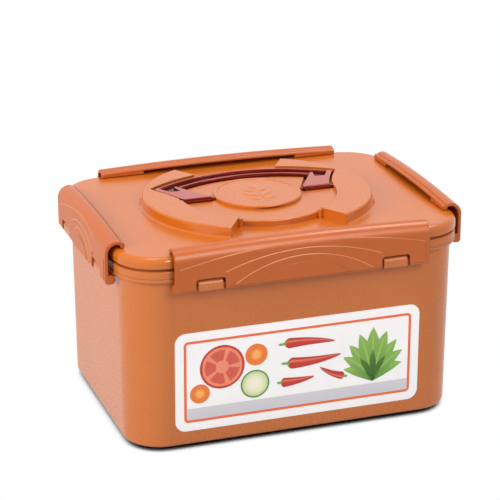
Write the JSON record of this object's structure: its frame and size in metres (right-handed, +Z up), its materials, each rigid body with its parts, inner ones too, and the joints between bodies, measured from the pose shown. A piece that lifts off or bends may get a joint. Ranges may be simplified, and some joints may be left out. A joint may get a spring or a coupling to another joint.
{
  "type": "fermentation container",
  "caption": "Rectangular kitchen fermentation tub with a clipped lid, folding carry handle, round centre cap and a sealed inner press plate with a vent plug.",
  "frame": {"origin": "on the floor under the middle of the container", "axes": "+X along the long side, -Y towards the labelled front, +Z up"},
  "size_m": [0.277, 0.2084, 0.1592],
  "materials": {
    "tub_plastic": "fine satin terracotta polypropylene",
    "lid_plastic": "fine grain with polished upright edges",
    "clip_plastic": "fine spark-eroded grain",
    "handle_plastic": "polished dark red brown",
    "press_plastic": "polished red brown",
    "seal_rubber": "milky silicone",
    "label_film": null
  },
  "bodies": {
    "tub": {"tub": "tub_plastic", "front_label": "label_film"},
    "lid": {"lid": "lid_plastic", "lid_seal": "seal_rubber", "centre_cap": "lid_plastic"},
    "handle": {"handle": "handle_plastic"},
    "front_clip": {"front_clip": "clip_plastic"},
    "back_clip": {"back_clip": "clip_plastic"},
    "left_clip": {"left_clip": "clip_plastic"},
    "right_clip": {"right_clip": "clip_plastic"},
    "press_plate": {"press_plate": "press_plastic", "press_seal": "seal_rubber"},
    "vent_plug": {"vent_plug": "seal_rubber"}
  },
  "joints": [
    {"name": "lid_lift", "type": "slide", "parent": "tub", "child": "lid", "axis": [0, 0, 1], "range_m": [0, 0.022]},
    {"name": "front_clip_hinge", "type": "hinge", "parent": "tub", "child": "front_clip", "pos_m": [0, -0.0989, 0.1285], "axis": [1, 0, 0], "range_deg": [0, 165]},
    {"name": "back_clip_hinge", "type": "hinge", "parent": "tub", "child": "back_clip", "pos_m": [0, 0.0989, 0.1285], "axis": [-1, 0, 0], "range_deg": [0, 165]},
    {"name": "left_clip_hinge", "type": "hinge", "parent": "tub", "child": "left_clip", "pos_m": [-0.1332, 0, 0.1285], "axis": [0, -1, 0], "range_deg": [0, 165]},
    {"name": "right_clip_hinge", "type": "hinge", "parent": "tub", "child": "right_clip", "pos_m": [0.1332, 0, 0.1285], "axis": [0, 1, 0], "range_deg": [0, 165]},
    {"name": "handle_swing", "type": "hinge", "parent": "lid", "child": "handle", "pos_m": [0, 0, 0.156], "axis": [1, 0, 0], "range_deg": [0, 90]},
    {"name": "press_slide", "type": "slide", "parent": "tub", "child": "press_plate", "axis": [0, 0, 1], "range_m": [-0.07, 0]},
    {"name": "vent_pull", "type": "slide", "parent": "press_plate", "child": "vent_plug", "axis": [0, 0, 1], "range_m": [0, 0.008]}
  ],
  "couplings": [
    {"joint": "front_clip_hinge", "follows": "lid_lift", "rad_per_m": 130.8},
    {"joint": "back_clip_hinge", "follows": "lid_lift", "rad_per_m": 130.8},
    {"joint": "left_clip_hinge", "follows": "lid_lift", "rad_per_m": 130.8},
    {"joint": "right_clip_hinge", "follows": "lid_lift", "rad_per_m": 130.8}
  ]
}
